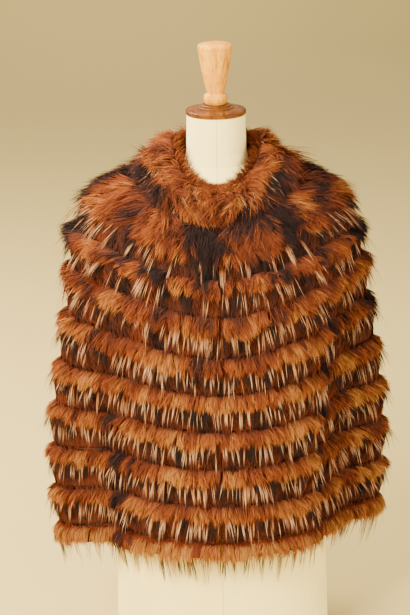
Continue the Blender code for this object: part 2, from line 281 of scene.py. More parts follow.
def canvas_material():
    """Plain woven cream canvas with crossing threads, soft clouds and a centre seam."""
    made, tree, shader = new_material("form_canvas")
    where = add_node(tree, "ShaderNodeTexCoord").outputs["Object"]
    threads = [stripes(tree, where, way, 260.0, 0.6) for way in ("X", "Z")]
    cloud = noise(tree, where, 9.0, 4.0)
    tint = ramp(tree, cloud, ((0.32, (0.98, 0.78, 0.25)), (0.66, (1.0, 0.84, 0.31))))
    thread_tint = ramp(tree, threads[0], ((0.0, (0.93, 0.92, 0.90)), (0.6, (1.0, 1.0, 1.0))))
    apart = add_node(tree, "ShaderNodeSeparateXYZ", {0: where})
    off_centre = calculated(tree, "ABSOLUTE", apart.outputs["X"])
    seam_width = {"Value": off_centre, "From Min": 0.0004, "From Max": 0.0016}
    seam = add_node(tree, "ShaderNodeMapRange", seam_width).outputs[0]
    seam_tint = ramp(tree, seam, ((0.0, (0.80, 0.74, 0.66)), (1.0, (1.0, 1.0, 1.0))))
    colour = blended(tree, 1.0, tint, thread_tint, "MULTIPLY")
    colour = blended(tree, 1.0, colour, seam_tint, "MULTIPLY")
    tree.links.new(colour, shader.inputs["Base Color"])
    weave = calculated(tree, "ADD", *threads)
    set_relief(tree, shader, calculated(tree, "ADD", weave, seam), 0.22, 0.0005)
    set_roughness(tree, shader, cloud, 0.78, 0.92)
    shader.inputs["Sheen Weight"].default_value = 0.15
    return made


dress_node("form_torso", canvas_material())


# The ground is a dark brown knitted cape, sewn from two fronts and two backs. It rests
# on the shoulders and hangs free below them, with a deep fold at each side. The strips
# of fur are sewn on it. Sizes are millimetres, a drop is counted down from the wooden
# cap, and a level counts rows of fur.
CAP_HEIGHT = 0.925
MM = 0.001
HEM_AT = 9.3
BODY_POWER = 2.3
WING_POWER = 2.5
UNION_SHARPNESS = 15.0
WING_YAW = math.radians(10.0)
WING_TURNS_FROM, WING_TURNS_OVER = 1, 3
DIP_POWER = 1.6
FINE_STEPS = 1861
CLOTH_COLUMNS = (
    "level", "side_drop", "front_drop", "back_drop",
    "half_width", "front_depth", "back_depth", "wing_reach", "wing_depth",
)
CLOTH_LEVELS = (
    (0.0, 93, 126, 88, 68, 76, 64, 68, 44),
    (0.5, 111, 167, 105, 128, 93, 84, 124, 56),
    (1.0, 143, 205, 133, 184, 108, 101, 180, 66),
    (2.0, 189, 247, 190, 199, 120, 115, 205, 80),
    (3.0, 248, 308, 258, 201, 128, 121, 218, 78),
    (4.0, 325, 375, 332, 192, 128, 123, 233, 68),
    (5.0, 407, 435, 406, 183, 127, 124, 248, 58),
    (6.0, 479, 500, 479, 175, 125, 126, 259, 50),
    (7.0, 553, 565, 551, 174, 123, 128, 265, 45),
    (8.0, 625, 631, 622, 176, 121, 130, 265, 43),
    (9.0, 693, 694, 690, 179, 120, 132, 261, 42),
    (9.3, 713, 713, 710, 180, 120, 132, 259, 42),
)
# Troughs: degrees from the front, width in degrees, depth at the hem, level it begins at
FOLDS = (
    (-70, 5.0, 9, 4.6), (66, 4.5, 8, 2.6), (-33, 8.0, 5, 5.5), (14, 7.0, 4, 6.0),
    (41, 8.0, 5, 4.5), (122, 6.0, 9, 3.5), (158, 9.0, 8, 5.0), (-172, 8.0, 6, 4.0),
    (-143, 9.0, 9, 3.8), (-116, 6.0, 8, 4.8),
)


def eased(share):
    """A share from 0 to 1 that starts and ends softly."""
    share = np.clip(share, 0.0, 1.0)
    return share * share * (3 - 2 * share)


def row_curves():
    """Each column of the cloth's table as a smooth curve, sampled finely by level."""
    table = np.array(CLOTH_LEVELS, float)
    fine = np.linspace(0.0, HEM_AT, FINE_STEPS)
    found = {}
    spans = np.diff(table[:, 0])
    for column, name in enumerate(CLOTH_COLUMNS[1:], start=1):
        values = table[:, column]
        rises = np.diff(values) / spans
        inner = (values[2:] - values[:-2]) / (table[2:, 0] - table[:-2, 0])
        slopes = np.concatenate([[rises[0]], inner, [rises[-1]]])
        here = np.clip(np.searchsorted(table[:, 0], fine, side="right") - 1, 0, len(rises) - 1)
        share = (fine - table[here, 0]) / spans[here]
        step = values[here + 1] - values[here]
        bounds = []
        for slope in (slopes[here], slopes[here + 1]):
            rise = slope * spans[here]
            rise = np.where(rise * step <= 0, 0.0, rise)
            bounds.append(np.sign(step) * np.minimum(np.abs(rise), 3 * np.abs(step)))
        square, cube = share**2, share**3
        found[name] = (
            values[here] * (2 * cube - 3 * square + 1)
            + values[here + 1] * (3 * square - 2 * cube)
            + bounds[0] * (cube - 2 * square + share)
            + bounds[1] * (cube - square)
        )
    return fine, found


FINE_LEVELS, CURVES = row_curves()


def cloth_row(level):
    """The cloth's sizes at a level, by name."""
    return {name: np.interp(level, FINE_LEVELS, curve) for name, curve in CURVES.items()}


def oval_radius(angle, half_width, front_depth, back_depth, power):
    """How far a rounded oval reaches at an angle from the front."""
    across, ahead = np.abs(np.sin(angle)), np.cos(angle)
    depth = np.where(ahead > 0, front_depth, back_depth)
    return ((across / half_width) ** power + (np.abs(ahead) / depth) ** power) ** (-1 / power)


def degrees_from(angle, where):
    """Degrees from a place round the form, from -180 to 180."""
    return (np.degrees(angle) - where + 180) % 360 - 180


def plan_radius(angle, row, level, grow):
    """The cape's reach at a level: the body's oval and the wings', joined and folded."""
    body = oval_radius(
        angle,
        row["half_width"] + grow,
        row["front_depth"] + grow,
        row["back_depth"] + grow,
        BODY_POWER,
    )
    yaw = WING_YAW * eased((level - WING_TURNS_FROM) / WING_TURNS_OVER)
    depth = row["wing_depth"] + grow
    wing = oval_radius(angle - yaw, row["wing_reach"] + grow, depth, depth, WING_POWER)
    joined = body * (1 + (wing / body) ** UNION_SHARPNESS) ** (1 / UNION_SHARPNESS)
    for where, width, depth, begins in FOLDS:
        grown = eased((level - begins) / (HEM_AT - begins))
        joined = joined - depth * grown * np.exp(-((degrees_from(angle, where) / width) ** 2))
    return joined


def cloth_profile(angle, level):
    """The cloth's inner face at an angle and level: its reach, its drop and its sizes."""
    row = cloth_row(level)
    ahead = np.cos(angle)
    end = np.where(ahead > 0, row["front_drop"], row["back_drop"])
    drop = row["side_drop"] + (end - row["side_drop"]) * np.abs(ahead) ** DIP_POWER
    return plan_radius(angle, row, level, 0.0), drop, row


def place(angle, radius, drop):
    """A point in metres from its angle, reach and drop."""
    across, ahead = radius * np.sin(angle), -radius * np.cos(angle)
    return np.stack([across * MM, ahead * MM, CAP_HEIGHT - drop * MM], axis=-1)


def cloth_point(angle, level, out):
    """Points that stand out by so many millimetres from the cloth's inner face."""
    step = 0.02
    level = np.maximum(0.0, level)
    held = np.minimum(HEM_AT, level)
    above, below = np.maximum(0.0, held - step), np.minimum(HEM_AT, held + step)
    _, drop, row = cloth_profile(angle, held)
    high_radius, high_drop, _ = cloth_profile(angle, above)
    low_radius, low_drop, _ = cloth_profile(angle, below)
    wider, lower = low_radius - high_radius, low_drop - high_drop
    length = np.hypot(wider, lower)
    drop = drop + (level - held) * lower / (below - above)
    radius = plan_radius(angle, row, held, out * lower / length)
    return place(angle, radius, drop - out * wider / length)


def knit_material():
    """Dark brown knit: ribs of small stitches with brown and near-black yarn."""
    made, tree, shader = new_material("ground_knit")
    where = add_node(tree, "ShaderNodeTexCoord").outputs["Object"]
    cloud = noise(tree, where, 40.0, 5.0)
    colour = ramp(tree, cloud, ((0.35, (0.030, 0.014, 0.010)), (0.65, (0.12, 0.045, 0.022))))
    tree.links.new(colour, shader.inputs["Base Color"])
    set_relief(tree, shader, stripes(tree, where, "Z", 90.0, 1.5), 0.5, 0.001)
    set_roughness(tree, shader, cloud, 0.8, 0.95)
    return made


ground_knit = knit_material()
# Each panel's cut: flat width and length in metres, and area in square metres
PANEL_CUTS = {
    "ground_front_left": (0.27, 0.71, 0.166),
    "ground_front_right": (0.36, 0.71, 0.200),
    "ground_back_left": (0.37, 0.71, 0.204),
    "ground_back_right": (0.27, 0.71, 0.170),
}
for name, (wide, long, area) in PANEL_CUTS.items():
    dress_node(name, ground_knit)


# The fur strips: dyed rust-orange pelts cut into bands and sewn along their top edge.
# Short orange underfur makes the bright band. Longer guard hair, cream with black
# tips, hangs from it in small tufts over the dark gap to the next strip.
FUR_ROWS = 9
# A strip's upper and lower edge, in levels over and under its row's own
STRIP_TOP, STRIP_BOTTOM = 0.17, 0.77
FIRST_STRIP_FROM, LAST_STRIP_TO = 0.48, 9.28
# The ground's outer face, and how high the pelt stands over it at shares of a strip
GROUND_FACE = 3.3
SKIN_SHARES = (0.0, 0.08, 0.25, 0.48, 0.65, 0.82, 1.0)
SKIN_HEIGHTS = (9.0, 13.0, 16.5, 17.0, 15.0, 12.5, 10.0)
# Tones above these are cream guard hair and black guard hair; below them is underfur
CREAM_FROM, BLACK_FROM = 0.62, 0.81
# Underfur's colour at the root and at the tip, by tone. The roots are the fur's own deeper
# colour, darkened further as painted shade between the tufts.
SHADED_ROOT_COLOURS = (
    (0.0, (0.011, 0.008, 0.008)), (0.15, (0.050, 0.018, 0.012)), (0.35, (0.076, 0.019, 0.011)),
    (0.60, (0.12, 0.034, 0.014)),
)
TIP_COLOURS = (
    (0.0, (0.018, 0.013, 0.012)), (0.15, (0.085, 0.026, 0.015)), (0.34, (0.195, 0.042, 0.011)),
    (0.47, (0.32, 0.094, 0.019)), (0.60, (0.47, 0.200, 0.042)),
)
# Guard hair's colour from root to tip, and the tint that makes cream hair golden, by tone
CREAM_COLOURS = (
    (0.0, (0.10, 0.02, 0.006)), (0.24, (0.20, 0.055, 0.014)), (0.42, (0.44, 0.235, 0.110)),
    (0.62, (0.54, 0.35, 0.200)), (0.80, (0.22, 0.105, 0.060)), (0.92, (0.035, 0.016, 0.010)),
    (1.0, (0.012, 0.008, 0.007)),
)
BLACK_COLOURS = (
    (0.0, (0.055, 0.018, 0.010)), (0.40, (0.024, 0.015, 0.012)), (0.8, (0.015, 0.013, 0.012)),
)
GOLDEN_TINTS = ((0.66, (1.0, 1.0, 1.0)), (0.78, (0.76, 0.58, 0.46)))
# The pelt's colour from a strip's upper edge to its lower edge, and its dark clouds. It is a dark
# version of the fur's colour, as painted shade under and between the hairs, darkest at the upper
# edge.
SHADED_PELT_COLOURS = (
    (0.06, (0.035, 0.009, 0.004)), (0.14, (0.065, 0.012, 0.004)), (0.36, (0.10, 0.019, 0.005)),
    (0.50, (0.10, 0.022, 0.008)), (0.60, (0.085, 0.021, 0.009)), (1.0, (0.070, 0.018, 0.009)),
)
PELT_CLOUDS = ((0.40, (0.30, 0.28, 0.30)), (0.56, (1.0, 1.0, 1.0)))


def fur_tones_group():
    """Fur colour from a strand's tone and the place along it, root to tip."""
    number = "NodeSocketFloat"
    group, took, gives = node_group(
        "fur_tones",
        (("Tone", number), ("Along", number)),
        (("Colour", "NodeSocketColor"),),
    )
    tone, along = took["Tone"], took["Along"]
    # The root colours carry painted shade between the tufts
    root, tip = ramp(group, tone, SHADED_ROOT_COLOURS), ramp(group, tone, TIP_COLOURS)
    cream, black = ramp(group, along, CREAM_COLOURS), ramp(group, along, BLACK_COLOURS)
    golden = ramp(group, tone, GOLDEN_TINTS)
    is_cream = calculated(group, "GREATER_THAN", tone, CREAM_FROM)
    is_black = calculated(group, "GREATER_THAN", tone, BLACK_FROM)
    colour = blended(group, along, root, tip)
    colour = blended(group, is_cream, colour, blended(group, 1.0, cream, golden, "MULTIPLY"))
    colour = blended(group, is_black, colour, black)
    group.links.new(colour, gives["Colour"])
    return group


fur_tones = fur_tones_group()


def hair_material():
    """The hair. Its map holds each strand's tone across and the place along it down."""
    made, tree, shader = new_material("fur_hair")
    held = add_node(tree, "ShaderNodeUVMap", uv_map="Hair")
    apart = add_node(tree, "ShaderNodeSeparateXYZ", {0: held.outputs["UV"]})
    values = {"Tone": apart.outputs["X"], "Along": apart.outputs["Y"]}
    tones = add_node(tree, "ShaderNodeGroup", values, node_tree=fur_tones)
    tree.links.new(tones.outputs["Colour"], shader.inputs["Base Color"])
    set_roughness(tree, shader, apart.outputs["Y"], 0.72, 0.50)
    shader.inputs["Specular IOR Level"].default_value = 0.0
    return made


def skin_material():
    """The pelt under the hair, painted darker than the fur as shade under and between the hairs:
    rust in the band, dark brown and black in the gap.
    """
    made, tree, shader = new_material("fur_skin")
    held = add_node(tree, "ShaderNodeUVMap", uv_map="Skin").outputs["UV"]
    apart = add_node(tree, "ShaderNodeSeparateXYZ", {0: held})
    combed = add_node(tree, "ShaderNodeMapping", {"Vector": held, "Scale": (420.0, 6.0, 1.0)})
    streaks = noise(tree, combed.outputs[0], 1.0, 4.0)
    spotted = add_node(tree, "ShaderNodeMapping", {"Vector": held, "Scale": (34.0, 2.0, 1.0)})
    cloud = noise(tree, spotted.outputs[0], 1.0, 3.0)
    shaken = calculated(tree, "MULTIPLY_ADD", streaks, 0.16, apart.outputs["Y"])
    band, shade = ramp(tree, shaken, SHADED_PELT_COLOURS), ramp(tree, cloud, PELT_CLOUDS)
    colour = blended(tree, 0.8, band, shade, "MULTIPLY")
    tree.links.new(colour, shader.inputs["Base Color"])
    set_relief(tree, shader, streaks, 0.8, 0.002)
    set_roughness(tree, shader, streaks, 0.70, 0.92)
    shader.inputs["Specular IOR Level"].default_value = 0.0
    return made


fur_hair = hair_material()
fur_skin = skin_material()


def mesh_from_arrays(name, points, faces, uvs, uv_name):
    """A mesh in the scene, with a UV map for its nodes and the same again for export."""
    mesh = bpy.data.meshes.new(name)
    count, sides = faces.shape
    mesh.vertices.add(len(points))
    mesh.vertices.foreach_set("co", np.ascontiguousarray(points, np.float32).ravel())
    mesh.loops.add(count * sides)
    mesh.loops.foreach_set("vertex_index", faces.astype(np.int32).ravel())
    mesh.polygons.add(count)
    mesh.polygons.foreach_set("loop_start", np.arange(0, count * sides, sides, dtype=np.int32))
    mesh.update(calc_edges=True)
    flat = np.ascontiguousarray(uvs[faces.ravel()], np.float32).ravel()
    for layer in (uv_name, "OFBake"):
        mesh.uv_layers.new(name=layer).data.foreach_set("uv", flat)
    obj = bpy.data.objects.new(name, mesh)
    bpy.context.scene.collection.objects.link(obj)
    return obj


def pelt_object(name, points, uvs):
    """The pelt as a smooth sheet through a grid of points."""
    rows, columns = points.shape[:2]
    index = np.arange(rows * columns).reshape(rows, columns)
    corners = [index[:-1, :-1], index[:-1, 1:], index[1:, 1:], index[1:, :-1]]
    faces = np.stack([c.ravel() for c in corners], axis=1)
    obj = mesh_from_arrays(name, points.reshape(-1, 3), faces, uvs.reshape(-1, 2), "Skin")
    obj.data.materials.append(fur_skin)
    obj.data.shade_smooth()
    return obj


def unit(vectors):
    """The same ways, each one long."""
    return vectors / np.maximum(np.linalg.norm(vectors, axis=-1, keepdims=True), 1e-9)


def turned_to(normals, outward):
    """Normals flipped, where need be, to the side that outward points to."""
    flip = np.sign(np.sum(normals * outward, axis=1))
    flip[flip == 0] = 1.0
    return normals * flip[:, None]


# The width of a strand at its joints, as a share of its own width
TAPERS = {3: (0.9, 0.85, 0.0), 4: (0.75, 1.0, 0.62, 0.0)}
# How far strands twist about their own line, and how far their normals scatter
TWIST, SCATTER_ACROSS, SCATTER_ALONG = 0.55, 0.45, 0.15


def grow_hair(rng, roots, fall, out, length, rise, turn, sag, width, tone, joints):
    """Fine tapering ribbons. Each leaves its root at a rise from the fall of the fur,
    turned sideways, and sags back to the fall by a share of that rise. Gives points,
    faces, UVs and normals."""
    count = len(roots)
    side = unit(np.cross(fall, out))
    turned = fall * np.cos(turn)[:, None] + side * np.sin(turn)[:, None]
    start = turned * np.cos(rise)[:, None] + out * np.sin(rise)[:, None]
    low = rise * (1 - sag)
    end = turned * np.cos(low)[:, None] + out * np.sin(low)[:, None]
    along = np.linspace(0.0, 1.0, joints) ** 0.9
    bend = along**2 / 2
    path = roots[:, None] + length[:, None, None] * (
        start[:, None] * (along - bend)[None, :, None] + end[:, None] * bend[None, :, None]
    )
    lie = rng.normal(0.0, TWIST, count)
    flat = unit(np.cross(end, out) * np.cos(lie)[:, None] + out * np.sin(lie)[:, None])
    half = 0.5 * width[:, None] * np.array(TAPERS[joints])[None]
    left = path - flat[:, None] * half[..., None]
    right = path + flat[:, None] * half[..., None]
    points = np.concatenate([left, right[:, :-1]], axis=1)
    each = 2 * joints - 1
    faces = []
    for i in range(joints - 2):
        faces += [(i, joints + i, joints + i + 1), (i, joints + i + 1, i + 1)]
    faces.append((joints - 2, 2 * joints - 2, joints - 1))
    faces = np.array(faces)[None] + (np.arange(count) * each)[:, None, None]
    down = np.concatenate([along, along[:-1]])
    uvs = np.stack([np.repeat(tone[:, None], each, 1), np.repeat(down[None], count, 0)], axis=-1)
    across = flat * rng.normal(0.0, SCATTER_ACROSS, count)[:, None]
    ahead = start * rng.normal(0, SCATTER_ALONG, count)[:, None]
    normals = np.repeat(unit(out + across + ahead)[:, None], each, 1)
    return points.reshape(-1, 3), faces.reshape(-1, 3), uvs.reshape(-1, 2), normals.reshape(-1, 3)


def hair_object(name, bundles):
    """All the bundles of ribbons as one mesh with soft normals."""
    points, faces, uvs, normals, at = [], [], [], [], 0
    for bundle in bundles:
        points.append(bundle[0])
        faces.append(bundle[1] + at)
        uvs.append(bundle[2])
        normals.append(bundle[3])
        at += len(bundle[0])
    points, faces = np.concatenate(points), np.concatenate(faces)
    obj = mesh_from_arrays(name, points, faces, np.concatenate(uvs), "Hair")
    mesh = obj.data
    mesh.shade_smooth()
    mesh.normals_split_custom_set_from_vertices(np.concatenate(normals).tolist())
    mesh.materials.append(fur_hair)
    return obj


def strip_edges(row):
    """The levels of a strip's upper and lower edge."""
    top = FIRST_STRIP_FROM if row == 1 else row - STRIP_TOP
    bottom = LAST_STRIP_TO if row == FUR_ROWS else row + STRIP_BOTTOM
    return top, bottom


# The two deep folds at the sides, the levels that each takes to open, and how flat the
# fur is pressed in them
SIDE_FOLDS = FOLDS[:2]
FOLD_OPENS_OVER = 2.0
FOLD_PRESS = 0.75
# Where the fur lies closer over a shoulder: degrees from the front, level it ends at
PRESSED = ((78.0, 3.6), (-76.0, 1.9))
PRESSED_HALF_WIDTH = 38.0
PRESSED_FADES_OVER = 1.2
SHOULDER_PRESS = 0.45


def in_fold(angle, level):
    """How deep in one of the two side folds a place is, from 0 to 1."""
    total = np.zeros_like(angle * level)
    for where, width, _, begins in SIDE_FOLDS:
        near = np.exp(-((degrees_from(angle, where) / width) ** 2))
        total = total + eased((level - begins) / FOLD_OPENS_OVER) * near
    return total


def pressed_shoulder(angle, level):
    """How far the fur is pressed over the shoulders, from 0 to 1."""
    total = np.zeros_like(angle * level)
    for middle, lowest in PRESSED:
        near = np.exp(-((degrees_from(angle, middle) / PRESSED_HALF_WIDTH) ** 4))
        total += near * np.clip((lowest - level) / PRESSED_FADES_OVER, 0.0, 1.0)
    return total


def skin_point(row, angle, share):
    """A point on a strip's pelt, from its upper edge (0) to its lower edge (1)."""
    top, bottom = strip_edges(row)
    level = top + (bottom - top) * share
    height = np.interp(share, SKIN_SHARES, SKIN_HEIGHTS)
    height = height * (1 - FOLD_PRESS * in_fold(angle, level))
    height = height * (1 - SHOULDER_PRESS * pressed_shoulder(angle, level))
    return cloth_point(angle, level, GROUND_FACE + height)


# How far out the middle of the fur is, and the angles tried round a strip
FUR_MIDDLE = 24.0
TURNS_TRIED = 2400


def even_turns(row):
    """Angles round a strip from front edge to front edge, and the metres reached at each."""
    turns = np.radians(np.linspace(0.4, 359.6, TURNS_TRIED))
    line = cloth_point(turns, np.full_like(turns, sum(strip_edges(row)) / 2), FUR_MIDDLE)
    reached = np.concatenate([[0.0], np.cumsum(np.linalg.norm(np.diff(line, axis=0), axis=1))])
    return turns, reached


# Hair hangs a little steeper than the pelt under it, on the last strip nearly straight
# down, and it leans away from the form's middle
STEEPER, HEM_STEEPER, LEANS_OUT = 0.4, 2.0, 0.6


def hair_frame(row, angle, share):
    """A root on the pelt with the way the hair falls and the way that faces out."""
    root = skin_point(row, angle, share)
    fall = unit(skin_point(row, angle, share + 0.04) - root)
    ahead = unit(skin_point(row, angle + 0.004, share) - root)
    away = root * np.array([1.0, 1.0, 0.0])
    out = turned_to(unit(np.cross(fall, ahead)), away + np.array([0.0, 0.0, 0.15]))
    down = np.array([0.0, 0.0, -1.0])
    if row == FUR_ROWS:
        steep = HEM_STEEPER * down
    else:
        steep = STEEPER * (down + out * out[:, 2:])
    return root, unit(fall + steep), unit(out + LEANS_OUT * unit(away))


# Seeds for the patches of the strips, each counted up by the strip's number: of the
# bands' tone, the gaps' tone, the tufts' lean, the yoke's dark spots, the bands' dark
# places and the line the roots follow
BAND_SEED, GAP_SEED, LEAN_SEED, SPOT_SEED, DARK_SEED, ROOT_SEED = 0, 30, 60, 80, 140, 170


def patchwork(seed, where, size):
    """Soft random patches along a strip, from -1 to 1."""
    waves = np.random.default_rng(seed)
    total = np.zeros_like(where)
    for _ in range(6):
        long = size * waves.uniform(0.5, 2.2)
        total += np.sin(where / long * 2 * np.pi + waves.uniform(0, 2 * np.pi))
    return total / 3.2


def patches(seed, across, down, size):
    """Soft random patches over an area given in metres, from -1 to 1."""
    waves = np.random.default_rng(seed)
    total = np.zeros_like(across)
    for _ in range(9):
        heading = waves.uniform(0, np.pi)
        place_on = across * np.cos(heading) + down * np.sin(heading) * 1.6
        long = size * waves.uniform(0.6, 1.8)
        total += np.sin(place_on / long * 2 * np.pi + waves.uniform(0, 2 * np.pi))
    return total / 3.4


SHORTEST_HAIR = 4 * MM
UNDERFUR_TONES = (0.01, 0.59)


def coat(rng, look_at, heads, hairs, size, pull, untidy, tall, joints):
    """Fur in tufts. heads are the tufts' places: metres along, share down. Hairs stand
    round each within size mm, and pull draws their tips together. The fur is tall metres
    from share 0 to share 1. look_at tells the fur's frame, comb, length and how much of
    that is left, rise and tone from a place."""
    many = len(heads)
    who = rng.integers(0, many, hairs)
    off = rng.normal(0.0, size, (hairs, 2)) * MM
    place_along = heads[who, 0] + off[:, 0]
    share = heads[who, 1] + off[:, 1] / tall
    (root, fall, out), comb, length, left, rise, tone = look_at(place_along, share)
    longer = rng.normal(1.0, 0.06 + 0.22 * untidy, many)[who] * rng.uniform(0.64, 1.14, hairs)
    lengths = np.maximum(length * longer * MM - off[:, 1] * pull, SHORTEST_HAIR)
    turn = rng.normal(0.0, untidy, many)[who] + np.arctan2(off[:, 0] * pull, lengths)
    turn += rng.normal(0.0, 0.07, hairs)
    rises = np.radians(rise) * rng.uniform(0.70, 1.3, many)[who]
    rises *= rng.uniform(0.65, 1.15, hairs)
    tone = tone + rng.normal(0.0, 0.05, many)[who]
    tone += rng.normal(0.0, 0.05, hairs)
    width = rng.uniform(0.8, 1.3, hairs) * MM
    tone = np.clip(tone, *UNDERFUR_TONES)
    return grow_hair(
        rng, root, fall, out, lengths * left, rises, turn + comb, 0.7, width, tone, joints
    )


# row: hair length mm, rise in degrees, untidiness, share the roots reach to, hairs
ROW_HAIR = {
    1: (32.0, 38.0, 0.50, 0.36, 26000),
    2: (25.0, 34.0, 0.40, 0.19, 18000),
    3: (23.5, 33.0, 0.30, 0.17, 15500),
    4: (22.0, 32.0, 0.22, 0.16, 14500),
    5: (20.5, 32.0, 0.19, 0.15, 14000),
    6: (20.5, 32.0, 0.19, 0.15, 14000),
    7: (20.5, 32.0, 0.19, 0.15, 14000),
    8: (20.5, 32.0, 0.19, 0.15, 14000),
    9: (22.0, 27.0, 0.19, 0.55, 17000),
}
# Places where a strip is near black: row, degrees from the front, half width in degrees. The one
# at the front of the first strip is painted shadow under the collar's point.
DARK_AND_SHADED_PLACES = (
    (1, -7, 11), (1, 44, 8), (1, -96, 10), (1, 100, 10), (2, -86, 9), (2, 84, 7),
    (2, 140, 12), (3, -92, 8), (3, 170, 14), (4, 95, 8),
)
# The painted shade in the right side's fold lies by so many radians nearer to the front
FOLD_SHADE_SHIFT = 0.12
# The yoke's strips: how far out they are combed, and how much darker their spots are
YOKE_ROWS = 3
YOKE_COMB = (0.45, 0.35, 0.22)
YOKE_SPOTS = (0.24, 0.26, 0.22)
# Metres of cloth from one level to the next, about
LEVEL_TALL = 0.070


def dark_places_and_fold_shade(row, angle):
    """How dark a strip is at an angle, from 0 to 1: its near-black places, and painted shade deep
    in the two side folds.
    """
    total = np.zeros_like(angle)
    for where, middle, half in DARK_AND_SHADED_PLACES:
        if where == row:
            total = np.maximum(total, np.exp(-((degrees_from(angle, middle) / half) ** 4)))
    inner = angle - np.where(np.sin(angle) < 0, FOLD_SHADE_SHIFT, 0.0)
    return np.maximum(total, np.minimum(1.0, 1.4 * in_fold(inner, float(row)) ** 2))


def wrapped(angle):
    """The same angle from -pi to pi."""
    return (angle + np.pi) % (2 * np.pi) - np.pi


def combed_out(row, angle, fall, out):
    """At the yoke the hair is combed away from the front centre, most at the sides."""
    if row > YOKE_ROWS:
        return 0.0
    turns = wrapped(angle)
    side = np.cross(fall, out)
    lean = YOKE_COMB[row - 1] * np.exp(-(((np.abs(turns) - 1.0) / 0.55) ** 2))
    return np.sign(side[:, 0] * turns) * lean


def band_tone(row, angle, along, share, tall):
    """The underfur's tone: deeper at the yoke and the roots, with pale and dark places, and
    painted shade in the side folds and under the collar's point.
    """
    tone = 0.45 - 0.17 * max(0, 5 - row) / 4 + 0.13 * patchwork(row + BAND_SEED, along, 0.09)
    tone = tone + 0.06 * (share / ROW_HAIR[row][3] - 0.5) - 0.44 * dark_places_and_fold_shade(row, angle)
    if row == FUR_ROWS:
        tone += 0.11
    if row <= YOKE_ROWS:
        spots = patches(row + SPOT_SEED, along, share * tall, 0.060)
        tone -= YOKE_SPOTS[row - 1] * eased((spots - 0.30) * 2.0)
        tone += 0.13 * eased((-0.30 - spots) * 2.0)
    else:
        tone -= 0.26 * eased((patchwork(row + DARK_SEED, along, 0.045) - 0.62) * 4.0)
    return tone


def underfur(rng, row, turns, reached):
    """The bright band: underfur in tufts, small on the body and loose at the yoke."""
    length, rise, untidy, root_to, count = ROW_HAIR[row]
    tuft = 8.0 if row <= YOKE_ROWS else 4.0
    top, bottom = strip_edges(row)
    tall = (bottom - top) * LEVEL_TALL
    many = int(reached[-1] * tall * root_to / (tuft * MM) ** 2) + 20
    heads = np.stack([rng.uniform(0, reached[-1], many), rng.uniform(0, root_to, many)], 1)

    def look_at(along, share):
        angle = np.interp(along, reached, turns)
        wavy = share + 0.045 * patchwork(row + ROOT_SEED, along, 0.05)
        found = hair_frame(row, angle, np.clip(wavy, -0.02, 1.0))
        comb = combed_out(row, angle, found[1], found[2])
        return found, comb, length, 1.0, rise, band_tone(row, angle, along, share, tall)

    return coat(rng, look_at, heads, count, tuft * 0.55, 0.6, untidy, tall, 3)


# The hairs in a strip's gap and the width of their tufts in millimetres
GAP_HAIRS = 6600
GAP_TUFT = 9.0


def gap_fur(rng, row, turns, reached, count):
    """Short reddish-brown fur that lies flat below the band, in small tufts."""
    spot = rng.uniform(0.0, reached[-1], count)
    share = rng.uniform(ROW_HAIR[row][3], 1.0, count)
    angle = np.interp(spot, reached, turns)
    root, fall, out = hair_frame(row, angle, share)
    tuft = (spot * 1000 / GAP_TUFT).astype(int)
    leans = rng.normal(0.0, 0.2, tuft.max() + 2)[tuft]
    turn = leans + rng.normal(0.0, 0.2, count)
    lengths = rng.uniform(9.0, 17.0, count) * MM
    rises = np.radians(rng.uniform(4.0, 16.0, count))
    tone = 0.17 + 0.16 * patchwork(row + GAP_SEED, spot, 0.055) + rng.normal(0, 0.04, count)
    # Painted shade in the side folds darkens the gap fur too
    tone = np.clip(tone - 0.15 * dark_places_and_fold_shade(row, angle), 0.0, 0.33)
    width = rng.uniform(0.9, 1.3, count) * MM
    return grow_hair(rng, root, fall, out, lengths, rises, turn, 0.8, width, tone, 3)


def tufts(rng, row, turns, reached, kind):
    """Small bunches of guard hair of one kind, all along a strip."""
    every, hairs, begins, ends, length, rise, low_tone, high_tone, spread, pull = kind
    heads = int(reached[-1] / (every * MM))
    head_spot = rng.uniform(0.0, reached[-1], heads)
    head_share = rng.uniform(begins, ends, heads)
    leaning = 0.11 * pull * patchwork(row + LEAN_SEED, head_spot, 0.14)
    head_turn = rng.normal(0.0, 0.07, heads) + leaning
    head_length = length * rng.uniform(0.72, 1.20, heads)
    head_tone = rng.uniform(low_tone, high_tone, heads)
    who = np.repeat(np.arange(heads), rng.integers(max(1, hairs // 2), hairs + 3, heads))
    count = len(who)
    off = rng.normal(0.0, spread, count)
    spot = np.clip(head_spot[who] + off * MM, 0.0, reached[-1])
    share = head_share[who] + rng.normal(0.0, 0.02, count)
    angle = np.interp(spot, reached, turns)
    root, fall, out = hair_frame(row, angle, share)
    lengths = head_length[who] * rng.uniform(0.86, 1.04, count)
    lengths *= 1 - 0.10 * np.minimum(np.abs(off) / spread, 2.0)
    inwards = np.arctan2(off * pull, lengths)
    turn = head_turn[who] + inwards + rng.normal(0.0, 0.02, count)
    turn += 0.5 * combed_out(row, angle, fall, out)
    rises = np.radians(rise) * rng.uniform(0.6, 1.3, heads)[who] * rng.uniform(0.9, 1.1, count)
    width = rng.uniform(0.45, 0.85, count) * MM
    tone = np.clip(head_tone[who] + rng.normal(0, 0.01, count), low_tone, high_tone)
    return grow_hair(rng, root, fall, out, lengths * MM, rises, turn, 0.85, width, tone, 4)


# Kinds of tuft: spacing mm, hairs in one, shares the roots begin and end at, length mm,
# rise in degrees, lowest and highest tone, width mm, how far the tips draw together
BLACK_TONES = (0.83, 0.99)
HEM_TUFTS = (
    (30.0, 16, 0.62, 0.90, 58, 2, *BLACK_TONES, 2.6, 0.2),
    (12.0, 4, 0.60, 0.90, 56, 3, 0.74, 0.79, 1.2, 0.3),
    (9.0, 2, 0.55, 0.88, 52, 3, *BLACK_TONES, 0.8, 0.3),
    (11.0, 3, 0.30, 0.66, 40, 6, 0.70, 0.79, 0.6, 0.9),
)


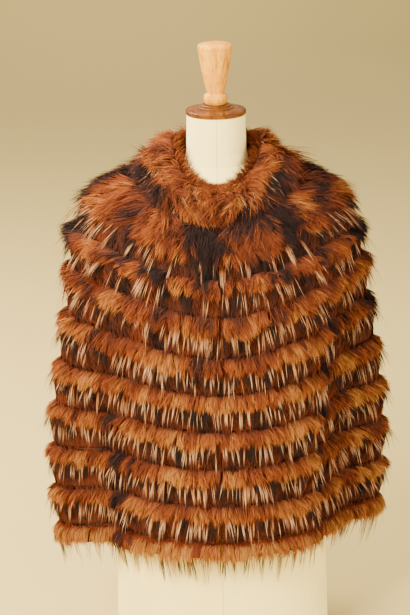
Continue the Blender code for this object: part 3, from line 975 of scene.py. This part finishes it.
def tuft_kinds(row):
    """The kinds of tuft on a strip: black ones under the band, cream ones at its edge."""
    if row == FUR_ROWS:
        return HEM_TUFTS
    edge = ROW_HAIR[row][3]
    low, high = (edge, edge + 0.25), (edge - 0.04, edge + 0.22)
    yoke = max(0, YOKE_ROWS + 1 - row)
    every, long = 6.5 + 2.5 * yoke, 49 + 3 * yoke
    fan, pull, pale = (1.7, 0.4, 0.71) if yoke else (1.0, 0.9, 0.64)
    cream = (pale, 0.79)
    return (
        (19.0, 26, *low, 36, 15, *BLACK_TONES, 4.5, 0.9),
        (7.0, 4, *low, 36, 18, *BLACK_TONES, 2.0, 0.9),
        (every * 3.4, 8, *high, long, 20, *cream, fan * 1.7, pull),
        (every * 1.5, 4, *high, long, 21, *cream, fan * 0.9, pull),
        (every * 1.8, 1, *high, long, 21, *cream, 0.5, 0.9),
    )


PELT_COLUMNS, PELT_LINES = 260, 13


def fur_row(row):
    """One strip: its pelt, and its hair over it."""
    rng = np.random.default_rng(100 + row)
    turns, reached = even_turns(row)
    angle = np.interp(np.linspace(0.0, reached[-1], PELT_COLUMNS), reached, turns)
    share = np.linspace(0.0, 1.0, PELT_LINES)
    around, down = np.meshgrid(angle, share, indexing="ij")
    skin = skin_point(row, around.ravel(), down.ravel()).reshape(PELT_COLUMNS, PELT_LINES, 3)
    opening, closing = [
        cloth_point(angle, np.full_like(angle, edge), GROUND_FACE) for edge in strip_edges(row)
    ]
    grid = np.concatenate([opening[:, None], skin, closing[:, None]], axis=1)
    across = np.linspace(0.0, 1.0, PELT_COLUMNS)
    down = np.concatenate([[0.0], 0.02 + 0.96 * share, [1.0]])
    uvs = np.stack(np.meshgrid(across, down, indexing="ij"), axis=-1)
    pelt = pelt_object(f"fur_row_{row}_pelt", grid, uvs)

    bundles = [underfur(rng, row, turns, reached)]
    if row < FUR_ROWS:
        bundles.append(gap_fur(rng, row, turns, reached, GAP_HAIRS))
    bundles += [tufts(rng, row, turns, reached, kind) for kind in tuft_kinds(row)]
    hair = hair_object(f"fur_row_{row}_hair", bundles)
    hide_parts(f"fur_row_{row}")
    for piece in (pelt, hair):
        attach(piece, "root")


for row in range(1, FUR_ROWS + 1):
    fur_row(row)


# The collar is one wide band of the same fur, stood up round the neck and turned out
# so that its hair falls over the first strip. Its two ends meet at the front.

# Its section at the back, sides and front: reach and drop of its tip by the neck, then
# of its swell, in millimetres
COLLAR_BACK = (60, 33, 100, 42)
COLLAR_SIDE = (60, 36, 114, 42)
COLLAR_FRONT = (67, 102, 122, 103)
COLLAR_DIP_POWER = 1.5
# The level that its foot is sewn on at, and its middle's height
COLLAR_FOOT_AT = 0.44
COLLAR_MIDDLE = 0.82
# Its reach as a ring, its length round that ring and its width, in metres
COLLAR_REACH, COLLAR_ROUND, COLLAR_WIDE = 0.1, 0.628, 0.085


def collar_point(angle, share, out):
    """The collar's outer face, from its tip by the neck (0) to its foot (1)."""
    ahead = np.abs(np.cos(angle)) ** COLLAR_DIP_POWER
    sizes = []
    for front, side, back in zip(COLLAR_FRONT, COLLAR_SIDE, COLLAR_BACK):
        end = np.where(np.cos(angle) > 0, front, back)
        sizes.append(side + (end - side) * ahead)
    tip = place(angle, sizes[0], sizes[1])
    swell = place(angle, sizes[2], sizes[3])
    foot = cloth_point(angle, np.full_like(angle, COLLAR_FOOT_AT), GROUND_FACE)
    share = share[:, None]
    face = (1 - share) ** 2 * tip + 2 * share * (1 - share) * swell + share**2 * foot
    core = (tip + foot) / 2
    return face + unit(face - core) * (out[:, None] * MM)


def collar_frame(angle, share, out):
    """A root on the collar with the way the hair falls and the way that faces out."""
    root = collar_point(angle, share, out)
    step = np.where(share < 0.97, 0.03, -0.03)
    fall = unit(collar_point(angle, share + step, out) - root) * np.sign(step)[:, None]
    across = unit(collar_point(angle + 0.01, share, out) - root)
    outward = root - np.array([0.0, 0.0, COLLAR_MIDDLE])
    return root, fall, turned_to(unit(np.cross(fall, across)), outward)


# Where its lower edge is dark with painted shade over the first strip: degrees from the front,
# half width in degrees, share it begins at
COLLAR_SHADE_PLACES = (
    (50, 30, 0.46), (-72, 24, 0.42), (-38, 18, 0.78), (-8, 9, 0.80), (150, 20, 0.7),
    (-140, 14, 0.7),
)


def collar_shade(angle, share):
    """How deep the collar's painted shade is at a place, from 0 to 1."""
    turns = np.degrees(wrapped(angle))
    total = np.zeros_like(angle)
    for middle, half, begins in COLLAR_SHADE_PLACES:
        near = np.exp(-(((turns - middle) / half) ** 4))
        total = np.maximum(total, near * eased((share - begins) / 0.10))
    return total


def towards_front(angle, fall, out, share):
    """The lapels' hair is combed down towards the point where they meet."""
    turns = wrapped(angle)
    side = np.cross(fall, out)
    lean = 0.6 * np.exp(-((turns / 0.9) ** 2)) * np.clip(share * 1.6, 0.0, 1.0)
    return -np.sign(side[:, 0] * turns) * lean


# Where its hair is shorter: radians from the front, half width in radians, by what share
COLLAR_SHORT_AT, COLLAR_SHORT_WIDTH, COLLAR_SHORT_BY = 1.3, 0.5, 0.35
# Seeds for the patches of its tone, its darker places and its lining
COLLAR_SEED, COLLAR_SPOT_SEED, LINING_SEED = 6, 5, 9


def collar_coat(rng, hairs, many):
    """The collar's underfur: long, soft and in loose tufts that lean each their own way.
    It is shorter over the wearer's left shoulder."""
    along = rng.uniform(0.0, COLLAR_ROUND, many)
    heads = np.stack([along, rng.uniform(-0.02, 0.95, many)], 1)

    def look_at(along, share):
        angle = np.clip(along / COLLAR_REACH, 0.012, 2 * np.pi - 0.012)
        held = np.clip(share, -0.03, 0.99)
        found = collar_frame(angle, held, -17.0 + 7.0 * held)
        comb = towards_front(angle, found[1], found[2], held)
        length = 25.0 + 19.0 * np.clip(share * 1.6, 0.0, 1.0)
        near = np.exp(-(((angle - COLLAR_SHORT_AT) / COLLAR_SHORT_WIDTH) ** 2))
        left = 1 - COLLAR_SHORT_BY * near * (1 - held)
        rise = 50.0 - 24.0 * np.clip(share * 1.3, 0.0, 1.0)
        down = share * COLLAR_WIDE
        tone = 0.37 + 0.08 * patches(COLLAR_SEED, along, down, 0.05)
        tone = tone - 0.16 * eased((patches(COLLAR_SPOT_SEED, along, down, 0.04) - 0.45) * 3.0)
        # Painted shade at the collar's lower edge, over the first strip
        tone = tone - 0.36 * collar_shade(along / COLLAR_REACH, share)
        return found, comb, length, left, rise, tone

    return coat(rng, look_at, heads, hairs, 7.5, 0.85, 0.48, COLLAR_WIDE, 4)


# The collar's pelt lies so many millimetres inside the tips of its hair, and its inner
# edge is sewn to the ground at this level
PELT_INSET = -15.0
LINING_FOOT_AT = 0.04


def collar_lining(rng, hairs, in_front):
    """Fur on the collar's inner side, pressed up and in against the neck."""
    angle = np.radians(rng.uniform(0.2, 359.8, hairs))
    angle[:in_front] = rng.normal(0.0, 0.28, in_front)
    tip = collar_point(angle, np.zeros(hairs), np.full(hairs, PELT_INSET))
    base = cloth_point(angle, np.full(hairs, LINING_FOOT_AT), GROUND_FACE)
    root = tip + (base - tip) * rng.uniform(0.0, 0.6, hairs)[:, None] ** 1.3
    inward = unit(root * np.array([-1.0, -1.0, 0.0]))
    up = unit(inward * 0.8 + np.array([0.0, 0.0, 0.75]))
    lengths = rng.uniform(14.0, 26.0, hairs) * MM
    turn = rng.normal(0.0, 0.45, hairs)
    rises = rng.normal(0.0, 0.30, hairs)
    tone = 0.36 + 0.08 * patchwork(LINING_SEED, angle * 0.06, 0.03)
    tone = tone + rng.normal(0, 0.07, hairs)
    width = rng.uniform(0.8, 1.3, hairs) * MM
    tone = np.clip(tone, 0.05, 0.56)
    return grow_hair(rng, root, up, inward, lengths, rises, turn, 0.5, width, tone, 3)


def collar_guard(rng, hairs, long, lowest, highest):
    """Stiffer guard hair, most of it where the collar's edge lies on the first strip, in its
    painted shade; the black guard hair there deepens that shade.
    """
    angle = np.radians(rng.uniform(1.0, 359.0, hairs))
    share = rng.uniform(0.15, 1.0, hairs)
    kept = rng.uniform(0.0, 1.0, hairs) < 0.02 + 0.9 * collar_shade(angle, share + 0.08)
    angle, share = angle[kept], share[kept]
    count = len(angle)
    root, fall, out = collar_frame(angle, share, np.full(count, -9.0))
    tuft = (angle * 100 / 6.0).astype(int) + 2
    turn = rng.normal(0.0, 0.35, tuft.max() + 2)[tuft] + rng.normal(0.0, 0.12, count)
    lengths = long * rng.uniform(0.7, 1.15, count) * MM
    rises = np.radians(22.0) * rng.uniform(0.5, 1.6, count)
    tone = rng.uniform(lowest, highest, count)
    width = rng.uniform(0.8, 1.2, count) * MM
    return grow_hair(rng, root, fall, out, lengths, rises, turn, 0.7, width, tone, 4)


# The form's reach at drops from the cap down, with the hair just clear of it
NECK_DROPS = (0, 62, 80, 93, 126)
NECK_REACHES = (48.6, 48.6, 52.5, 60.0, 70.0)


def clear_of_neck(bundle):
    """Hair that would enter the form's neck is pressed back to its face."""
    points = bundle[0]
    drop = (CAP_HEIGHT - points[:, 2]) / MM
    limit = np.interp(drop, NECK_DROPS, NECK_REACHES) * MM
    reach = np.hypot(points[:, 0], points[:, 1])
    inside = (reach < limit) & (drop < NECK_DROPS[-1])
    points[:, :2] *= np.where(inside, limit / np.maximum(reach, 1e-6), 1.0)[:, None]
    return bundle


def fur_collar():
    """The collar: its pelt, rolled from the ground over to its foot, and its hair."""
    rng = np.random.default_rng(90)
    columns, rows = 160, 18
    angle = np.radians(np.linspace(0.9, 359.1, columns))
    around, down = np.meshgrid(angle, np.linspace(0.0, 1.0, rows), indexing="ij")
    inset = PELT_INSET + 5.0 * down.ravel()
    grid = collar_point(around.ravel(), down.ravel(), inset).reshape(columns, rows, 3)
    root = cloth_point(angle, np.full_like(angle, LINING_FOOT_AT), GROUND_FACE)
    grid = np.concatenate([root[:, None], grid], axis=1)
    across = np.linspace(0.0, 1.0, columns)
    down = np.concatenate([[0.15], np.linspace(0.2, 0.62, rows)])
    uvs = np.stack(np.meshgrid(across, down, indexing="ij"), axis=-1)
    pelt = pelt_object("fur_collar_pelt", grid, uvs)

    bundles = [
        collar_coat(rng, 27000, 360),
        collar_lining(rng, 7800, 2500),
        collar_guard(rng, 16000, 30.0, *BLACK_TONES),
        collar_guard(rng, 1500, 36.0, 0.68, 0.79),
    ]
    hair = hair_object("fur_collar_hair", [clear_of_neck(bundle) for bundle in bundles])
    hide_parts("fur_collar")
    for piece in (pelt, hair):
        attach(piece, "root")


fur_collar()
